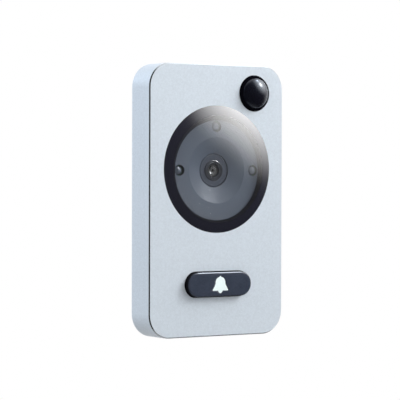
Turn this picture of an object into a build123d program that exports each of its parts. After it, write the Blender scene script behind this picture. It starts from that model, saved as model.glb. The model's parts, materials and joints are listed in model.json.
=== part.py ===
from build123d import *
import math
import os

os.makedirs("parts", exist_ok=True)

# Video doorbell, in millimetres. X is to the right, +Z is up and the front looks along -Y.
# The origin is the middle of the wall face. Depths are distances in front of the wall.

# Outline of the body
body_width = 68.0
body_height = 115.0
corner_radius = 10.0
side_wall = 1.8
rear_edge_round = 0.5
front_chamfer = 0.45
hole_chamfer = 0.2

# Layers from the wall to the front
rear_recess = 2.8
cover_thickness = 1.4
board_gap = 0.8
board_thickness = 1.0
bay_depth = 4.2
deck_thickness = 2.0
tape_thickness = 0.3
face_thickness = 1.5

cover_outer = rear_recess
cover_inner = cover_outer + cover_thickness
board_rear = cover_inner + board_gap
board_front = board_rear + board_thickness
deck_rear = board_front + bay_depth
deck_front = deck_rear + deck_thickness
face_rear = deck_front + tape_thickness
face_front = face_rear + face_thickness

# Clearances
fit_gap = 0.15
snug_gap = 0.05
button_gap = 0.25
board_clearance = 0.5

# Chassis in the shell and the tape that bonds it there
chassis_wall = 1.05
tape_setback = 0.6

chassis_inset = side_wall + fit_gap
cavity_inset = chassis_inset + chassis_wall

# Camera window, with its mask and tape
window_radius = 26.6
window_top_gap = 17.7
window_crown = 3.0
window_ledge = 2.6
mask_width = 5.7
mask_thickness = 0.15
window_tape_thickness = 0.2
camera_drop = 0.5

window_z = body_height / 2 - window_top_gap - window_radius
window_hole = window_radius + fit_gap
camera_z = window_z - camera_drop
mask_inner = window_radius - mask_width
mask_rear = deck_front + window_tape_thickness
window_rear = mask_rear + mask_thickness

# Infrared lamps on their ring board
lamp_angles = (0, 90, 180)
lamp_radius = 2.15
lamp_flange = 0.4
lamp_flange_height = 0.8
lamp_height = 3.6
lamp_margin = 0.45
lamp_board_gap = 0.8
lamp_board_thickness = 1.0

lamp_circle = mask_inner - lamp_margin - lamp_radius
lamp_board_rear = board_front + lamp_board_gap
lamp_board_front = lamp_board_rear + lamp_board_thickness

# Grey dish around the lens
dish_wall = 1.2
dish_setback = 0.2
dish_flange = 1.4
dish_flange_thickness = 0.8
dish_skirt = 1.2
funnel_radius = 13.8
funnel_depth = 2.4
throat_gap = 0.12
ear_reach = 4.0
ear_radius = 2.6
ear_angles = (90, 210, 330)
post_radius = 1.7
post_angles = (45, 135, 270)
post_setback = 1.2

dish_radius = window_radius - window_ledge
dish_front = deck_front - dish_setback
dish_rear = dish_front - dish_wall
ear_circle = dish_radius + ear_reach
ear_rear = deck_rear - dish_flange_thickness
lamp_board_outer = dish_radius - dish_skirt - board_clearance
post_circle = lamp_board_outer - post_setback - post_radius

# Camera lens and what is behind it
lens_radius = 6.9
lens_flange = 1.2
lens_lip = 0.35
lens_lip_width = 0.6
lens_edge = 0.2
barrel_radius = 4.45
barrel_length = 1.75
front_glass_radius = 4.0
front_glass_edge = 0.9
front_glass_crown = 0.6
lens_ring_inner = 3.1
lens_ring_thickness = 0.45
lens_ring_margin = 0.25
rear_glass_radius = 2.55
rear_glass_thickness = 0.9
rear_glass_crown = 0.25
rear_glass_setback = 0.1
holder_size = 14.0
holder_base = 1.2
holder_tower_wall = 1.1
holder_top_gap = 0.2
filter_size = 7.0
filter_thickness = 0.3
filter_aperture = 2.8
chip_size = 8.0
chip_thickness = 0.6

filter_rear = board_front + chip_thickness + snug_gap * 2
filter_front = filter_rear + filter_thickness
barrel_rear = board_front + holder_base + snug_gap
flange_rear = barrel_rear + barrel_length
lens_front = flange_rear + lens_flange
glass_front = lens_front - lens_lip - lens_ring_thickness
glass_rear = glass_front - front_glass_edge
throat_radius = lens_radius + throat_gap

# Motion dome, its ring and the sensor under it
dome_side_gap = 15.0
dome_web = 3.65
dome_ring_radius = 7.4
dome_ring_width = 0.9
dome_ring_proud = 1.4
dome_ring_round = 0.55
dome_ring_inner_round = 0.15
dome_setback = 0.2
dome_rise = 2.8
dome_wall = 0.9
dome_flange = 0.4
dome_flange_thickness = 1.0
sensor_radius = 4.15
sensor_flange = 0.55
sensor_flange_thickness = 0.6
sensor_height = 4.0
sensor_stand = 2.2
sensor_view_width = 4.0
sensor_view_height = 3.0
sensor_view_thickness = 0.3
leg_radius = 0.25
leg_circle = 2.54
leg_angles = (0, 120, 240)
lead_end = 0.5

dome_distance = window_radius + dome_web + dome_ring_radius
dome_x = body_width / 2 - dome_side_gap
dome_z = window_z + math.sqrt(dome_distance**2 - dome_x**2)
dome_ring_inner = dome_ring_radius - dome_ring_width
dome_ring_front = face_front + dome_ring_proud
dome_radius = dome_ring_inner - snug_gap
dome_foot = dome_ring_front - dome_setback
dome_seat = deck_front - dome_flange_thickness
sensor_rear = board_front + sensor_stand
sensor_front = sensor_rear + sensor_height

# Bell button, its skirt and its switch
button_width = 32.1
button_height = 10.15
button_bottom_gap = 17.05
button_edge_proud = 2.4
button_crown = 0.2
button_round = 0.6
button_wall = 1.4
button_roof = 2.0
button_flange = 2.2
button_flange_thickness = 1.1
button_rest_gap = 0.2
button_stem_radius = 2.4
button_travel = 0.8
skirt_wall = 1.0
switch_size = 6.2
switch_height = 1.8
switch_floor = 0.3
plunger_radius = 1.7
plunger_overtravel = 0.1

button_z = -body_height / 2 + button_bottom_gap + button_height / 2
button_edge = face_front + button_edge_proud
button_top = button_edge + button_crown
button_flange_front = deck_rear - button_rest_gap
button_flange_rear = button_flange_front - button_flange_thickness
switch_front = board_front + switch_height
plunger_front = switch_front + button_travel + plunger_overtravel
plunger_rear = board_front + switch_floor + button_travel + plunger_overtravel

# Bell sign, inlaid in the button
bell_width = 7.8
bell_dome_radius = 2.5
bell_height = 5.85
bell_shoulder = 2.5
bell_flare = 0.12
bell_rim = 0.45
bell_knob = 0.42
bell_clapper = 1.1
bell_shift = 0.28
bell_inlay = 0.7

# Rear cover, its seal and its screws
seal_thickness = 0.5
boss_inset = 8.0
boss_radius = 2.7
cover_screw_radius = 1.2
cover_screw_length = 6.0
cover_screw_head = 2.1
cover_screw_head_height = 0.9
screw_floor = 0.5

seal_front = cover_inner + seal_thickness
cover_screw_end = cover_outer + cover_screw_length + screw_floor

# Main board and what is on it
board_post_inset = 7.0
board_post_drop = 16.5
board_post_radius = 2.2
board_screw_radius = 0.9
board_screw_length = 3.8
board_screw_head = 1.7
board_screw_head_height = 0.6
small_screw_radius = 0.7
small_screw_length = 3.2
small_screw_head = 1.4
small_screw_head_height = 0.6
ear_screw_length = 2.3
link_pin_radius = 0.3
link_pin_pitch = 2.0
link_pin_count = 4
link_pin_drop = 13.5
shield_width = 16.0
shield_depth = 1.8
shield_wall = 0.25
shield_gap = 3.0
socket_width = 10.0
socket_height = 5.5
socket_depth = 3.2
socket_wall = 0.8
coil_size = 7.0
coil_depth = 3.0
coil_round = 1.2
coil_side_gap = 17.0
coil_drop = 11.0
chip_gap = 2.0

board_inset = cavity_inset + board_clearance
foot_band = button_bottom_gap - button_flange - board_inset
foot_band_z = -body_height / 2 + board_inset + foot_band / 2
shield_x = -(shield_gap + shield_width) / 2
shield_height = foot_band - 2 * board_clearance
socket_x = (shield_gap + socket_width) / 2
coil_x = coil_side_gap - body_width / 2
coil_z = body_height / 2 - coil_drop
chip_pitch = coil_size + chip_gap
board_screw_end = board_rear + board_screw_length + screw_floor
ear_screw_end = ear_rear + ear_screw_length + snug_gap
dish_screw_end = lamp_board_rear + small_screw_length + snug_gap

# Wall bracket and the screw that locks the unit on it
bracket_side_gap = 10.0
bracket_end_gap = 11.5
bracket_corner = 5.0
bracket_thickness = 1.0
wall_hole_inset = 11.0
wall_hole_radius = 2.2
tab_width = 10.0
tab_spacing = 24.0
tab_joggle = 1.2
tab_length = 6.0
lip_gap = 0.4
lip_side = 3.0
lug_width = 10.0
lug_thickness = 2.0
lug_gap = 0.1
lock_boss_height = 4.0
lock_boss_width = 8.0
lock_screw_radius = 1.0
lock_screw_wall = 0.2
lock_screw_recess = 0.6
lock_screw_hex = 0.5
lock_screw_hex_depth = 1.0

bracket_width = body_width - 2 * bracket_side_gap
bracket_height = body_height - 2 * bracket_end_gap
wall_hole_z = bracket_height / 2 - wall_hole_inset
tab_foot = bracket_height / 2 + bracket_thickness
lug_bottom = -bracket_height / 2
lug_front = cover_outer - lug_gap
lock_axis = lug_front - lock_screw_wall - lock_screw_radius

# Cable inlet
cable_radius = 2.5
grommet_neck = 4.4
grommet_flange = 1.6
grommet_flange_thickness = 0.5
cable_window_width = 22.0
cable_window_height = 18.0
cable_window_corner = 4.0

cable_z = (camera_z - dish_radius - dish_flange + button_z + button_height / 2 + button_flange) / 2
grommet_radius = grommet_neck + grommet_flange
cable_cutout = grommet_radius + board_clearance


# Solid of an outline drawn as seen from the front, between two depths
def slab(outline, rear, front):
    return extrude(Plane.XZ.offset(rear) * outline, amount=front - rear)


# Round solid about an axis square to the wall, from a half profile of (radius, depth)
def spin(profile, x, z):
    half_plane = Plane(origin=(x, 0, z), x_dir=(1, 0, 0), z_dir=(0, 0, -1))
    return revolve(half_plane * profile, Axis((x, 0, z), (0, -1, 0)))


def polygon(points):
    return make_face(Polyline(*points, close=True))


# Radius of the ball that a cap of this half width and height is cut from
def cap_radius(half_width, height):
    return (half_width**2 + height**2) / (2 * height)


# Point half way along the arc of such a cap, as (radius, height above the foot)
def cap_middle(half_width, height):
    radius = cap_radius(half_width, height)
    half_angle = math.asin(half_width / radius) / 2
    return radius * math.sin(half_angle), height - radius * (1 - math.cos(half_angle))


def body_outline(inset):
    width = body_width - 2 * inset
    height = body_height - 2 * inset
    return RectangleRounded(width, height, corner_radius - inset)


def pill(margin):
    return Pos(0, button_z) * SlotOverall(button_width + 2 * margin, button_height + 2 * margin)


def copies(outline, places):
    return Sketch() + [Pos(*place) * outline for place in places]


# Places at some angles on a circle
def on_circle(x, z, radius, angles):
    turns = [math.radians(angle) for angle in angles]
    return [(x + radius * math.cos(turn), z + radius * math.sin(turn)) for turn in turns]


# Pan head screws that go in towards the front, with their heads behind the seat
def pan_screws(places, seat, radius, length, head_radius, head_height):
    shanks = slab(copies(Circle(radius), places), seat, seat + length)
    heads = slab(copies(Circle(head_radius), places), seat - head_height, seat)
    drive = Rectangle(head_radius, head_height / 2) + Rectangle(head_height / 2, head_radius)
    recess = slab(copies(drive, places), seat - head_height, seat - head_height / 2)
    return shanks + heads - recess


boss_x = body_width / 2 - boss_inset
boss_z = body_height / 2 - boss_inset
boss_places = [(x, z) for x in (-boss_x, boss_x) for z in (-boss_z, boss_z)]
board_post_x = body_width / 2 - board_post_inset
board_post_top = body_height / 2 - board_post_drop
board_post_places = [(x, z) for x in (-board_post_x, board_post_x) for z in (button_z, board_post_top)]
lamp_places = on_circle(0, camera_z, lamp_circle, lamp_angles)
dish_post_places = on_circle(0, camera_z, post_circle, post_angles)
ear_places = on_circle(0, camera_z, ear_circle, ear_angles)
leg_places = on_circle(dome_x, dome_z, leg_circle, leg_angles)
first_link_pin = -link_pin_pitch * (link_pin_count - 1) / 2
link_pin_places = [
    (first_link_pin + link_pin_pitch * index, camera_z - link_pin_drop) for index in range(link_pin_count)
]
window_place = Pos(0, window_z)
camera_place = Pos(0, camera_z)
dome_place = Pos(dome_x, dome_z)
cable_place = Pos(0, cable_z)
button_place = Pos(0, button_z)


def make_front_shell():
    shell = slab(body_outline(0), 0, face_front)
    shell = fillet(shell.faces().sort_by(Axis.Y)[-1].edges(), rear_edge_round)
    shell = chamfer(shell.faces().sort_by(Axis.Y)[0].edges(), front_chamfer)
    holes = window_place * Circle(window_hole) + dome_place * Circle(dome_ring_radius + fit_gap)
    shell -= slab(holes + pill(button_gap), face_rear, face_front)
    front_face = shell.faces().sort_by(Axis.Y)[0]
    rims = [edge for wire in front_face.inner_wires() for edge in wire.edges()]
    shell = chamfer(rims, hole_chamfer)
    shell -= slab(body_outline(side_wall), 0, face_rear)
    lip_top = body_height / 2 - side_wall
    lip_bottom = tab_foot + lip_gap
    lip_width = tab_spacing + tab_width + 2 * lip_side
    lip = Pos(0, (lip_top + lip_bottom) / 2) * Rectangle(lip_width, lip_top - lip_bottom)
    shell += slab(lip, 0, bracket_thickness)
    boss_foot = side_wall - body_height / 2
    lock_boss = Pos(0, boss_foot + lock_boss_height / 2) * Rectangle(lock_boss_width, lock_boss_height)
    shell += slab(lock_boss, 0, lug_front)
    return shell - lock_bore(lock_screw_radius, boss_foot + lock_boss_height)


def make_shell_tape():
    holes = window_place * Circle(window_hole + tape_setback)
    holes += dome_place * Circle(dome_ring_radius + tape_setback)
    holes += pill(button_gap + tape_setback)
    return slab(body_outline(chassis_inset + tape_setback) - holes, deck_front, face_rear)


def make_chassis():
    chassis = slab(body_outline(chassis_inset), seal_front, deck_front)
    chassis -= slab(body_outline(cavity_inset), seal_front, deck_rear)
    chassis += slab(copies(Circle(boss_radius), boss_places), cover_inner, deck_rear)
    chassis += slab(copies(Circle(board_post_radius), board_post_places), board_front, deck_rear)
    chassis -= slab(copies(Circle(cover_screw_radius), boss_places), cover_inner, cover_screw_end)
    chassis -= slab(copies(Circle(board_screw_radius), board_post_places), board_front, board_screw_end)
    chassis -= slab(copies(Circle(small_screw_radius), ear_places), deck_rear, ear_screw_end)
    chassis -= slab(camera_place * Circle(dish_radius + fit_gap), deck_rear, deck_front)
    chassis -= slab(dome_place * Circle(dome_radius - dome_wall), deck_rear, deck_front)
    chassis -= slab(dome_place * Circle(dome_radius + dome_flange + fit_gap), dome_seat, deck_front)
    return chassis - slab(pill(button_gap), deck_rear, deck_front)


# Upright cylinder on the axis of the locking screw, from under the body to a height
def lock_bore(radius, top):
    bottom = -body_height / 2
    return extrude(Plane(origin=(0, -lock_axis, bottom)) * Circle(radius), amount=top - bottom)


def make_rear_cover():
    holes = copies(Circle(cover_screw_radius + fit_gap), boss_places) + cable_place * Circle(grommet_neck)
    return slab(body_outline(chassis_inset) - holes, cover_outer, cover_inner)


def make_rear_seal():
    ring = body_outline(chassis_inset) - body_outline(cavity_inset)
    return slab(ring, cover_inner, seal_front)


def make_cover_screws():
    return pan_screws(boss_places, cover_outer, cover_screw_radius, cover_screw_length,
                      cover_screw_head, cover_screw_head_height)


def make_cable_grommet():
    outer_rear = cover_outer - grommet_flange_thickness
    inner_front = cover_inner + grommet_flange_thickness
    profile = polygon([
        (cable_radius, outer_rear), (grommet_radius, outer_rear), (grommet_radius, cover_outer),
        (grommet_neck, cover_outer), (grommet_neck, cover_inner), (grommet_radius, cover_inner),
        (grommet_radius, inner_front), (cable_radius, inner_front),
    ])
    return spin(profile, 0, cable_z)


def make_wall_bracket():
    holes = copies(Circle(wall_hole_radius), [(0, -wall_hole_z), (0, wall_hole_z)])
    holes += cable_place * RectangleRounded(cable_window_width, cable_window_height, cable_window_corner)
    outline = RectangleRounded(bracket_width, bracket_height, bracket_corner)
    bracket = slab(outline - holes, 0, bracket_thickness)
    tab_front = tab_joggle + bracket_thickness
    for x in (-tab_spacing / 2, tab_spacing / 2):
        riser = Pos(x, tab_foot - bracket_thickness) * Rectangle(tab_width, 2 * bracket_thickness)
        bracket += slab(riser, 0, tab_front)
        tab = Pos(x, tab_foot + tab_length / 2) * Rectangle(tab_width, tab_length)
        bracket += slab(tab, tab_joggle, tab_front)
    lug = Pos(0, lug_bottom + lug_thickness / 2) * Rectangle(lug_width, lug_thickness)
    bracket += slab(lug, 0, lug_front)
    return bracket - lock_bore(lock_screw_radius, lug_bottom + lug_thickness)


def make_security_screw():
    foot = -body_height / 2 + lock_screw_recess
    foot_plane = Plane(origin=(0, -lock_axis, foot))
    screw = extrude(foot_plane * Circle(lock_screw_radius), amount=lug_bottom + lug_thickness - foot)
    return screw - extrude(foot_plane * RegularPolygon(lock_screw_hex, 6), amount=lock_screw_hex_depth)


def make_camera_window():
    middle_radius, middle_height = cap_middle(window_radius, window_crown)
    outline = [
        Line((0, window_rear), (window_radius, window_rear)),
        Line((window_radius, window_rear), (window_radius, face_front)),
        ThreePointArc((window_radius, face_front), (middle_radius, face_front + middle_height),
                      (0, face_front + window_crown)),
        Line((0, face_front + window_crown), (0, window_rear)),
    ]
    return spin(make_face(outline), 0, window_z)


def make_mask_ring():
    outline = window_place * Circle(window_radius) - camera_place * Circle(mask_inner)
    return slab(outline, mask_rear, window_rear)


def make_window_tape():
    outline = window_place * Circle(window_radius) - camera_place * Circle(dish_radius + fit_gap)
    return slab(outline, deck_front, mask_rear)


def make_lens_surround():
    skirt_inner = dish_radius - dish_skirt
    flange_radius = dish_radius + dish_flange
    throat_front = dish_front - funnel_depth
    profile = polygon([
        (throat_radius, throat_front), (funnel_radius, dish_front), (dish_radius, dish_front),
        (dish_radius, deck_rear), (flange_radius, deck_rear), (flange_radius, ear_rear),
        (skirt_inner, ear_rear), (skirt_inner, dish_rear), (funnel_radius, dish_rear),
        (throat_radius, throat_front - dish_wall),
    ])
    dish = spin(profile, 0, camera_z)
    arm_length = ear_reach + dish_skirt
    arm = Pos(ear_circle - arm_length / 2, 0) * Rectangle(arm_length, 2 * ear_radius)
    for angle in ear_angles:
        dish += slab(camera_place * Rot(0, 0, angle) * arm, ear_rear, deck_rear)
    dish += slab(copies(Circle(ear_radius), ear_places), ear_rear, deck_rear)
    dish += slab(copies(Circle(post_radius), dish_post_places), lamp_board_front, dish_rear)
    dish -= slab(copies(Circle(small_screw_radius), dish_post_places), lamp_board_front, dish_screw_end)
    dish -= slab(copies(Circle(small_screw_radius + snug_gap), ear_places), ear_rear, deck_rear)
    return dish - slab(copies(Circle(lamp_radius + fit_gap), lamp_places), dish_rear, dish_front)


def make_surround_screws():
    return pan_screws(ear_places, ear_rear, small_screw_radius, ear_screw_length,
                      small_screw_head, small_screw_head_height)


def make_infrared_lamps():
    foot_radius = lamp_radius + lamp_flange
    foot_front = lamp_board_front + lamp_flange_height
    tip = lamp_board_front + lamp_height
    shoulder = tip - lamp_radius
    slant = lamp_radius * math.sqrt(0.5)
    outline = [
        Line((0, lamp_board_front), (foot_radius, lamp_board_front)),
        Line((foot_radius, lamp_board_front), (foot_radius, foot_front)),
        Line((foot_radius, foot_front), (lamp_radius, foot_front)),
        Line((lamp_radius, foot_front), (lamp_radius, shoulder)),
        ThreePointArc((lamp_radius, shoulder), (slant, shoulder + slant), (0, tip)),
        Line((0, tip), (0, lamp_board_front)),
    ]
    return Part() + [spin(make_face(outline), x, z) for x, z in lamp_places]


def make_lamp_board():
    inner = holder_size / math.sqrt(2) + board_clearance
    ring = camera_place * (Circle(lamp_board_outer) - Circle(inner))
    ring -= copies(Circle(small_screw_radius + snug_gap), dish_post_places)
    ring -= copies(Circle(link_pin_radius + snug_gap), link_pin_places)
    return slab(ring, lamp_board_rear, lamp_board_front)


def make_lamp_board_screws():
    return pan_screws(dish_post_places, lamp_board_rear, small_screw_radius, small_screw_length,
                      small_screw_head, small_screw_head_height)


def make_link_pins():
    pins = copies(Circle(link_pin_radius), link_pin_places)
    return slab(pins, board_rear - lead_end, lamp_board_front + lead_end)


def make_lens_barrel():
    seat_radius = front_glass_radius + snug_gap
    ring_bore = front_glass_radius + lens_ring_margin + snug_gap
    rear_bore = rear_glass_radius + snug_gap
    profile = polygon([
        (rear_bore, barrel_rear), (barrel_radius, barrel_rear), (barrel_radius, flange_rear),
        (lens_radius, flange_rear), (lens_radius, lens_front - lens_edge),
        (lens_radius - lens_edge, lens_front), (lens_radius - lens_lip_width, lens_front),
        (ring_bore + lens_edge, lens_front - lens_lip),
        (ring_bore, lens_front - lens_lip), (ring_bore, glass_front), (seat_radius, glass_front),
        (seat_radius, glass_rear), (rear_bore, glass_rear),
    ])
    return spin(profile, 0, camera_z)


def make_lens_ring():
    ring = Circle(front_glass_radius + lens_ring_margin) - Circle(lens_ring_inner)
    return slab(camera_place * ring, glass_front, glass_front + lens_ring_thickness)


def make_front_lens():
    bulge = lens_ring_inner - snug_gap
    middle_radius, middle_height = cap_middle(bulge, front_glass_crown)
    outline = [
        Line((0, glass_rear), (front_glass_radius, glass_rear)),
        Line((front_glass_radius, glass_rear), (front_glass_radius, glass_front)),
        Line((front_glass_radius, glass_front), (bulge, glass_front)),
        ThreePointArc((bulge, glass_front), (middle_radius, glass_front + middle_height),
                      (0, glass_front + front_glass_crown)),
        Line((0, glass_front + front_glass_crown), (0, glass_rear)),
    ]
    return spin(make_face(outline), 0, camera_z)


def make_rear_lens():
    front = glass_rear - rear_glass_setback
    rear = front - rear_glass_thickness + rear_glass_crown
    middle_radius, middle_height = cap_middle(rear_glass_radius, rear_glass_crown)
    outline = [
        Line((0, front), (rear_glass_radius, front)),
        Line((rear_glass_radius, front), (rear_glass_radius, rear)),
        ThreePointArc((rear_glass_radius, rear), (middle_radius, rear - middle_height),
                      (0, rear - rear_glass_crown)),
        Line((0, rear - rear_glass_crown), (0, front)),
    ]
    return spin(make_face(outline), 0, camera_z)


def make_lens_holder():
    thread_radius = barrel_radius + snug_gap
    base_front = board_front + holder_base
    tower = camera_place * Circle(thread_radius + holder_tower_wall)
    holder = slab(camera_place * Rectangle(holder_size, holder_size), board_front, base_front)
    holder += slab(tower, base_front, flange_rear - holder_top_gap)
    holder -= slab(camera_place * Circle(thread_radius), base_front, flange_rear)
    chip_room = chip_size + 2 * fit_gap
    filter_room = filter_size + 2 * snug_gap
    holder -= slab(camera_place * Rectangle(chip_room, chip_room), board_front, filter_rear)
    holder -= slab(camera_place * Rectangle(filter_room, filter_room), filter_rear, filter_front)
    return holder - slab(camera_place * Circle(filter_aperture), filter_front, base_front)


def make_infrared_filter():
    return slab(camera_place * Rectangle(filter_size, filter_size), filter_rear, filter_front)


def make_image_sensor():
    return slab(camera_place * Rectangle(chip_size, chip_size), board_front, board_front + chip_thickness)


def make_dome_ring():
    outline = Circle(dome_ring_radius) - Circle(dome_ring_inner)
    ring = slab(dome_place * outline, deck_front, dome_ring_front)
    front_face = ring.faces().sort_by(Axis.Y)[0]
    ring = fillet(front_face.outer_wire().edges(), dome_ring_round)
    front_face = ring.faces().sort_by(Axis.Y)[0]
    return fillet(front_face.inner_wires()[0].edges(), dome_ring_inner_round)


def make_motion_dome():
    outer_ball = cap_radius(dome_radius, dome_rise)
    inner_ball = outer_ball - dome_wall
    top = dome_foot + dome_rise
    ball_centre = top - outer_ball
    inner_radius = dome_radius - dome_wall
    inner_spring = ball_centre + math.sqrt(inner_ball**2 - inner_radius**2)
    flange_radius = dome_radius + dome_flange
    middle_radius, middle_height = cap_middle(dome_radius, dome_rise)
    inner_rise = top - dome_wall - inner_spring
    inner_middle_radius, inner_middle_height = cap_middle(inner_radius, inner_rise)
    outline = [
        Line((inner_radius, dome_seat), (flange_radius, dome_seat)),
        Line((flange_radius, dome_seat), (flange_radius, deck_front)),
        Line((flange_radius, deck_front), (dome_radius, deck_front)),
        Line((dome_radius, deck_front), (dome_radius, dome_foot)),
        ThreePointArc((dome_radius, dome_foot), (middle_radius, dome_foot + middle_height), (0, top)),
        Line((0, top), (0, top - dome_wall)),
        ThreePointArc((0, top - dome_wall), (inner_middle_radius, inner_spring + inner_middle_height),
                      (inner_radius, inner_spring)),
        Line((inner_radius, inner_spring), (inner_radius, dome_seat)),
    ]
    return spin(make_face(outline), dome_x, dome_z)


def make_motion_sensor():
    flange = dome_place * Circle(sensor_radius + sensor_flange)
    can = slab(dome_place * Circle(sensor_radius), sensor_rear, sensor_front)
    can += slab(flange, sensor_rear, sensor_rear + sensor_flange_thickness)
    opening = Rectangle(sensor_view_width + 2 * snug_gap, sensor_view_height + 2 * snug_gap)
    return can - slab(dome_place * opening, sensor_front - sensor_view_thickness, sensor_front)


def make_sensor_window():
    pane = dome_place * Rectangle(sensor_view_width, sensor_view_height)
    return slab(pane, sensor_front - sensor_view_thickness, sensor_front)


def make_sensor_legs():
    return slab(copies(Circle(leg_radius), leg_places), board_rear - lead_end, sensor_rear)


def make_main_board():
    width = body_width - 2 * board_inset
    height = body_height - 2 * board_inset
    notch = boss_inset - board_inset + boss_radius + board_clearance
    outline = Rectangle(width, height - 2 * notch) + Rectangle(width - 2 * notch, height)
    outline -= cable_place * Circle(cable_cutout)
    outline -= copies(Circle(board_screw_radius + snug_gap), board_post_places)
    outline -= copies(Circle(link_pin_radius + snug_gap), link_pin_places)
    outline -= copies(Circle(leg_radius + snug_gap), leg_places)
    return slab(outline, board_rear, board_front)


def make_board_screws():
    return pan_screws(board_post_places, board_rear, board_screw_radius, board_screw_length,
                      board_screw_head, board_screw_head_height)


def make_processor_shield():
    place = Pos(shield_x, foot_band_z)
    can = slab(place * Rectangle(shield_width, shield_height), board_front, board_front + shield_depth)
    room = Rectangle(shield_width - 2 * shield_wall, shield_height - 2 * shield_wall)
    return can - slab(place * room, board_front, board_front + shield_depth - shield_wall)


def make_board_chips():
    processor = Pos(shield_x, foot_band_z) * Rectangle(chip_size, chip_size)
    memory_places = [(coil_x + chip_pitch, coil_z), (coil_x + 2 * chip_pitch, coil_z)]
    memory = copies(Rectangle(chip_size / 2, chip_size), memory_places)
    return slab(processor + memory, board_front, board_front + chip_thickness)


def make_power_coil():
    return slab(Pos(coil_x, coil_z) * RectangleRounded(coil_size, coil_size, coil_round),
                board_front, board_front + coil_depth)


def make_cable_socket():
    place = Pos(socket_x, foot_band_z)
    body = slab(place * Rectangle(socket_width, socket_height), board_front, board_front + socket_depth)
    room = Rectangle(socket_width - 2 * socket_wall, socket_height - 2 * socket_wall)
    return body - slab(place * room, board_front + socket_wall, board_front + socket_depth)


# Crowned pill of the button: its half section swept along the middle and spun at both ends
def button_body(rear):
    half_height = button_height / 2
    half_run = (button_width - button_height) / 2
    middle_reach, middle_height = cap_middle(half_height, button_crown)
    outline = [
        Line((0, rear), (half_height, rear)),
        Line((half_height, rear), (half_height, button_edge)),
        ThreePointArc((half_height, button_edge), (middle_reach, button_edge + middle_height),
                      (0, button_top)),
        Line((0, button_top), (0, rear)),
    ]
    section = make_face(outline)
    corner = section.vertices().sort_by_distance((half_height, button_edge))[0]
    section = fillet(corner, button_round)
    body = spin(section, -half_run, button_z) + spin(section, half_run, button_z)
    upper_plane = Plane(origin=(-half_run, 0, button_z), x_dir=(0, 0, 1), z_dir=(1, 0, 0))
    lower_plane = Plane(origin=(half_run, 0, button_z), x_dir=(0, 0, -1), z_dir=(-1, 0, 0))
    body += extrude(upper_plane * section, amount=2 * half_run)
    return body + extrude(lower_plane * section, amount=2 * half_run)


# Outline of the bell, about the middle of the button
def bell_outline():
    foot = -bell_height / 2 + bell_shift
    rim_half = bell_width / 2
    rim_top = foot + bell_rim
    shoulder = foot + bell_height - bell_dome_radius
    crown = foot + bell_height
    slant = bell_dome_radius * math.sqrt(0.5)
    waist = rim_top + bell_shoulder
    flare_point = ((rim_half + bell_dome_radius) / 2 - bell_flare, (rim_top + waist) / 2)
    right_side = [
        Line((0, foot), (rim_half, foot)),
        Line((rim_half, foot), (rim_half, rim_top)),
        ThreePointArc((rim_half, rim_top), flare_point, (bell_dome_radius, waist)),
        Line((bell_dome_radius, waist), (bell_dome_radius, shoulder)),
        ThreePointArc((bell_dome_radius, shoulder), (slant, shoulder + slant), (0, crown)),
        Line((0, crown), (0, foot)),
    ]
    half = make_face(right_side)
    bell = half + mirror(half, Plane.YZ)
    bell += Pos(0, crown) * Circle(bell_knob)
    return bell + Pos(0, foot) * Circle(bell_clapper)


def bell_prism(front):
    return slab(button_place * bell_outline(), button_top - bell_inlay, front)


def make_button_cap():
    roof_rear = button_top - button_roof
    cap = button_body(button_flange_rear)
    cap += slab(pill(button_flange), button_flange_rear, button_flange_front)
    cap -= slab(pill(-button_wall), button_flange_rear, roof_rear)
    cap += slab(button_place * Circle(button_stem_radius), plunger_front, roof_rear)
    return cap - bell_prism(button_top + button_crown)


def make_bell_symbol():
    return bell_prism(button_top + button_crown) & button_body(button_flange_rear)


def make_button_skirt():
    return slab(pill(button_flange) - pill(button_flange - skirt_wall), board_front, button_flange_rear)


def make_switch_body():
    body = slab(button_place * Rectangle(switch_size, switch_size), board_front, switch_front)
    guide = button_place * Circle(plunger_radius + snug_gap)
    return body - slab(guide, board_front + switch_floor, switch_front)


def make_switch_plunger():
    return slab(button_place * Circle(plunger_radius), plunger_rear, plunger_front)


nodes = {
    "front_shell": make_front_shell,
    "shell_tape": make_shell_tape,
    "chassis": make_chassis,
    "rear_cover": make_rear_cover,
    "rear_seal": make_rear_seal,
    "cover_screws": make_cover_screws,
    "cable_grommet": make_cable_grommet,
    "wall_bracket": make_wall_bracket,
    "security_screw": make_security_screw,
    "camera_window": make_camera_window,
    "mask_ring": make_mask_ring,
    "window_tape": make_window_tape,
    "lens_surround": make_lens_surround,
    "surround_screws": make_surround_screws,
    "infrared_lamps": make_infrared_lamps,
    "lamp_board": make_lamp_board,
    "lamp_board_screws": make_lamp_board_screws,
    "link_pins": make_link_pins,
    "lens_barrel": make_lens_barrel,
    "lens_ring": make_lens_ring,
    "front_lens": make_front_lens,
    "rear_lens": make_rear_lens,
    "lens_holder": make_lens_holder,
    "infrared_filter": make_infrared_filter,
    "image_sensor": make_image_sensor,
    "dome_ring": make_dome_ring,
    "motion_dome": make_motion_dome,
    "motion_sensor": make_motion_sensor,
    "sensor_window": make_sensor_window,
    "sensor_legs": make_sensor_legs,
    "main_board": make_main_board,
    "board_screws": make_board_screws,
    "processor_shield": make_processor_shield,
    "board_chips": make_board_chips,
    "power_coil": make_power_coil,
    "cable_socket": make_cable_socket,
    "button_cap": make_button_cap,
    "bell_symbol": make_bell_symbol,
    "button_skirt": make_button_skirt,
    "switch_body": make_switch_body,
    "switch_plunger": make_switch_plunger,
}

for name, make in nodes.items():
    export_step(make(), f"parts/{name}.step")
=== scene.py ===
import json
import math
import bmesh
import bpy
from mathutils import Matrix, Vector


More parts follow.
